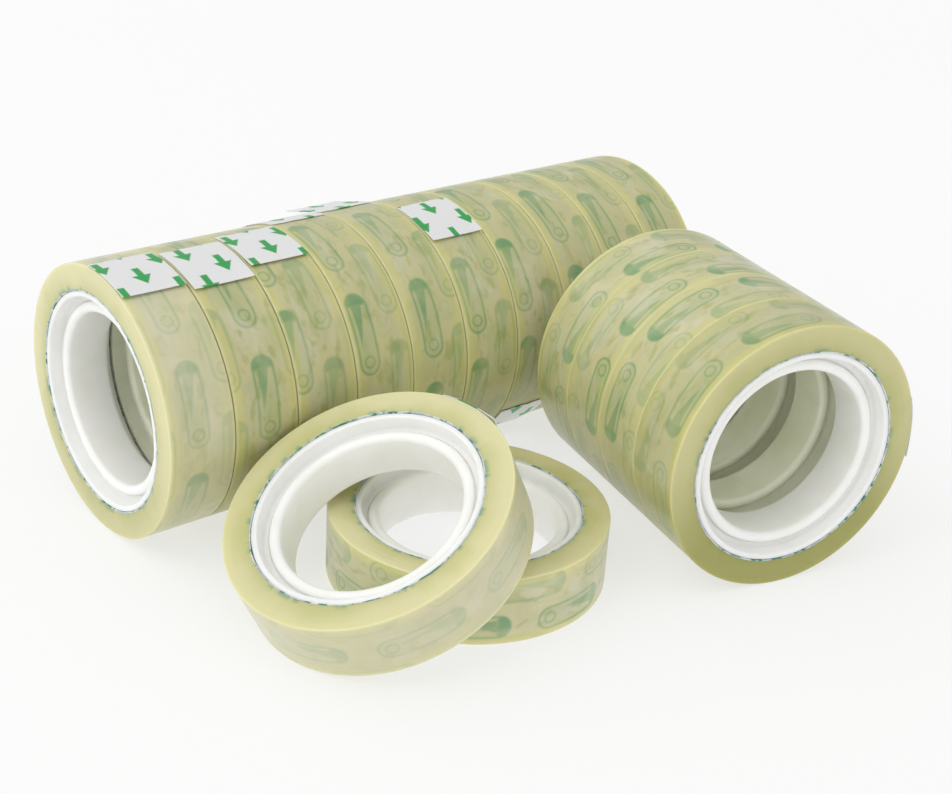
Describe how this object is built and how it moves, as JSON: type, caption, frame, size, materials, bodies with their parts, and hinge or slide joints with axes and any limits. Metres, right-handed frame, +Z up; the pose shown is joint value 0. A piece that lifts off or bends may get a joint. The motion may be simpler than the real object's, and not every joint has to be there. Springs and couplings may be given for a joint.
{
  "type": "set of stationery tape rolls",
  "caption": "Small rolls of clear stationery tape on moulded white cores, in rows on their rims with a flat roll and a leaning roll in front. Each has a paper starter tab that peels up.",
  "frame": {"origin": "on the table, under the middle of the set's outline", "axes": "+X to the right along the longest side, +Y to the back, +Z up from the table"},
  "size_m": [0.1354, 0.1272, 0.0423],
  "materials": {
    "tape": "clear yellowish film wound in many layers, soft gloss, faint green print",
    "core": "white moulded plastic, satin",
    "liner": "printed strip, bluish white with green marks, ragged edge",
    "tab": "white coated paper with green arrows"
  },
  "bodies": {
    "left_roll_01": {"left_roll_01_core": "core", "left_roll_01_winding": "tape", "left_roll_01_liner": "liner"},
    "left_roll_01_tab": {"left_roll_01_tab": "tab"},
    "left_roll_02": {"left_roll_02_core": "core", "left_roll_02_winding": "tape", "left_roll_02_liner": "liner"},
    "left_roll_02_tab": {"left_roll_02_tab": "tab"},
    "left_roll_03": {"left_roll_03_core": "core", "left_roll_03_winding": "tape", "left_roll_03_liner": "liner"},
    "left_roll_03_tab": {"left_roll_03_tab": "tab"},
    "left_roll_04": {"left_roll_04_core": "core", "left_roll_04_winding": "tape", "left_roll_04_liner": "liner"},
    "left_roll_04_tab": {"left_roll_04_tab": "tab"},
    "left_roll_05": {"left_roll_05_core": "core", "left_roll_05_winding": "tape", "left_roll_05_liner": "liner"},
    "left_roll_05_tab": {"left_roll_05_tab": "tab"},
    "left_roll_06": {"left_roll_06_core": "core", "left_roll_06_winding": "tape", "left_roll_06_liner": "liner"},
    "left_roll_06_tab": {"left_roll_06_tab": "tab"},
    "left_roll_07": {"left_roll_07_core": "core", "left_roll_07_winding": "tape"},
    "left_roll_07_tab": {"left_roll_07_tab": "tab"},
    "left_roll_08": {"left_roll_08_core": "core", "left_roll_08_winding": "tape"},
    "left_roll_08_tab": {"left_roll_08_tab": "tab"},
    "left_roll_09": {"left_roll_09_core": "core", "left_roll_09_winding": "tape"},
    "left_roll_09_tab": {"left_roll_09_tab": "tab"},
    "left_roll_10": {"left_roll_10_core": "core", "left_roll_10_winding": "tape"},
    "left_roll_10_tab": {"left_roll_10_tab": "tab"},
    "right_roll_01": {"right_roll_01_core": "core", "right_roll_01_winding": "tape", "right_roll_01_liner": "liner"},
    "right_roll_01_tab": {"right_roll_01_tab": "tab"},
    "right_roll_02": {"right_roll_02_core": "core", "right_roll_02_winding": "tape", "right_roll_02_liner": "liner"},
    "right_roll_02_tab": {"right_roll_02_tab": "tab"},
    "right_roll_03": {"right_roll_03_core": "core", "right_roll_03_winding": "tape", "right_roll_03_liner": "liner"},
    "right_roll_03_tab": {"right_roll_03_tab": "tab"},
    "right_roll_04": {"right_roll_04_core": "core", "right_roll_04_winding": "tape", "right_roll_04_liner": "liner"},
    "right_roll_04_tab": {"right_roll_04_tab": "tab"},
    "leaning_roll": {"leaning_roll_core": "core", "leaning_roll_winding": "tape", "leaning_roll_liner": "liner"},
    "leaning_roll_tab": {"leaning_roll_tab": "tab"},
    "flat_roll": {"flat_roll_core": "core", "flat_roll_winding": "tape", "flat_roll_liner": "liner"},
    "flat_roll_tab": {"flat_roll_tab": "tab"}
  },
  "joints": [
    {"name": "left_roll_01_lift", "type": "slide", "parent": "flat_roll", "child": "left_roll_01", "axis": [0, 0, 1], "range_m": [0, 0.05]},
    {"name": "left_roll_02_lift", "type": "slide", "parent": "flat_roll", "child": "left_roll_02", "axis": [0, 0, 1], "range_m": [0, 0.05]},
    {"name": "left_roll_03_lift", "type": "slide", "parent": "flat_roll", "child": "left_roll_03", "axis": [0, 0, 1], "range_m": [0, 0.05]},
    {"name": "left_roll_04_lift", "type": "slide", "parent": "flat_roll", "child": "left_roll_04", "axis": [0, 0, 1], "range_m": [0, 0.05]},
    {"name": "left_roll_05_lift", "type": "slide", "parent": "flat_roll", "child": "left_roll_05", "axis": [0, 0, 1], "range_m": [0, 0.05]},
    {"name": "left_roll_06_lift", "type": "slide", "parent": "flat_roll", "child": "left_roll_06", "axis": [0, 0, 1], "range_m": [0, 0.05]},
    {"name": "left_roll_07_lift", "type": "slide", "parent": "flat_roll", "child": "left_roll_07", "axis": [0, 0, 1], "range_m": [0, 0.05]},
    {"name": "left_roll_08_lift", "type": "slide", "parent": "flat_roll", "child": "left_roll_08", "axis": [0, 0, 1], "range_m": [0, 0.05]},
    {"name": "left_roll_09_lift", "type": "slide", "parent": "flat_roll", "child": "left_roll_09", "axis": [0, 0, 1], "range_m": [0, 0.05]},
    {"name": "left_roll_10_lift", "type": "slide", "parent": "flat_roll", "child": "left_roll_10", "axis": [0, 0, 1], "range_m": [0, 0.05]},
    {"name": "right_roll_01_lift", "type": "slide", "parent": "flat_roll", "child": "right_roll_01", "axis": [0, 0, 1], "range_m": [0, 0.05]},
    {"name": "right_roll_02_lift", "type": "slide", "parent": "flat_roll", "child": "right_roll_02", "axis": [0, 0, 1], "range_m": [0, 0.05]},
    {"name": "right_roll_03_lift", "type": "slide", "parent": "flat_roll", "child": "right_roll_03", "axis": [0, 0, 1], "range_m": [0, 0.05]},
    {"name": "right_roll_04_lift", "type": "slide", "parent": "flat_roll", "child": "right_roll_04", "axis": [0, 0, 1], "range_m": [0, 0.05]},
    {"name": "leaning_roll_lift", "type": "slide", "parent": "flat_roll", "child": "leaning_roll", "axis": [0, 0, 1], "range_m": [0, 0.05]},
    {"name": "left_roll_01_peel", "type": "hinge", "parent": "left_roll_01", "child": "left_roll_01_tab", "pos_m": [-0.0473, -0.01461, 0.04207], "axis": [-0.749, -0.6626, 0], "range_deg": [0, 90]},
    {"name": "left_roll_02_peel", "type": "hinge", "parent": "left_roll_02", "child": "left_roll_02_tab", "pos_m": [-0.03842, -0.00847, 0.04214], "axis": [-0.749, -0.6626, 0], "range_deg": [0, 90]},
    {"name": "left_roll_03_peel", "type": "hinge", "parent": "left_roll_03", "child": "left_roll_03_tab", "pos_m": [-0.03173, 0.00015, 0.04199], "axis": [-0.749, -0.6626, 0], "range_deg": [0, 90]},
    {"name": "left_roll_04_peel", "type": "hinge", "parent": "left_roll_04", "child": "left_roll_04_tab", "pos_m": [-0.02394, 0.00752, 0.04194], "axis": [0.749, 0.6626, 0], "range_deg": [0, 90]},
    {"name": "left_roll_05_peel", "type": "hinge", "parent": "left_roll_05", "child": "left_roll_05_tab", "pos_m": [-0.01735, 0.01625, 0.04152], "axis": [0.749, 0.6626, 0], "range_deg": [0, 90]},
    {"name": "left_roll_06_peel", "type": "hinge", "parent": "left_roll_06", "child": "left_roll_06_tab", "pos_m": [-0.00569, 0.01925, 0.04215], "axis": [-0.749, -0.6626, 0], "range_deg": [0, 90]},
    {"name": "left_roll_07_peel", "type": "hinge", "parent": "left_roll_07", "child": "left_roll_07_tab", "pos_m": [0.01385, 0.01334, 0.00948], "axis": [-0.749, -0.6626, 0], "range_deg": [0, 90]},
    {"name": "left_roll_08_peel", "type": "hinge", "parent": "left_roll_08", "child": "left_roll_08_tab", "pos_m": [-0.00225, 0.04772, 0.03093], "axis": [0.749, 0.6626, 0], "range_deg": [0, 90]},
    {"name": "left_roll_09_peel", "type": "hinge", "parent": "left_roll_09", "child": "left_roll_09_tab", "pos_m": [0.00431, 0.05648, 0.02431], "axis": [0.749, 0.6626, 0], "range_deg": [0, 90]},
    {"name": "left_roll_10_peel", "type": "hinge", "parent": "left_roll_10", "child": "left_roll_10_tab", "pos_m": [0.01545, 0.06007, 0.0346], "axis": [0.749, 0.6626, 0], "range_deg": [0, 90]},
    {"name": "right_roll_01_peel", "type": "hinge", "parent": "right_roll_01", "child": "right_roll_01_tab", "pos_m": [0.0618, -0.0085, 0.02823], "axis": [0.4446, -0.8957, 0], "range_deg": [0, 90]},
    {"name": "right_roll_02_peel", "type": "hinge", "parent": "right_roll_02", "child": "right_roll_02_tab", "pos_m": [0.0543, -0.00061, 0.03402], "axis": [0.4446, -0.8957, 0], "range_deg": [0, 90]},
    {"name": "right_roll_03_peel", "type": "hinge", "parent": "right_roll_03", "child": "right_roll_03_tab", "pos_m": [0.05351, 0.01061, 0.02394], "axis": [0.4446, -0.8957, 0], "range_deg": [0, 90]},
    {"name": "right_roll_04_peel", "type": "hinge", "parent": "right_roll_04", "child": "right_roll_04_tab", "pos_m": [0.0467, 0.01884, 0.03125], "axis": [0.4446, -0.8957, 0], "range_deg": [0, 90]},
    {"name": "leaning_roll_peel", "type": "hinge", "parent": "leaning_roll", "child": "leaning_roll_tab", "pos_m": [-0.00005, -0.02374, 0.01895], "axis": [-0.317, -0.3282, 0.8898], "range_deg": [0, 90]},
    {"name": "flat_roll_peel", "type": "hinge", "parent": "flat_roll", "child": "flat_roll_tab", "pos_m": [0.01165, -0.00879, 0], "axis": [0, 0, -1], "range_deg": [0, 90]}
  ]
}
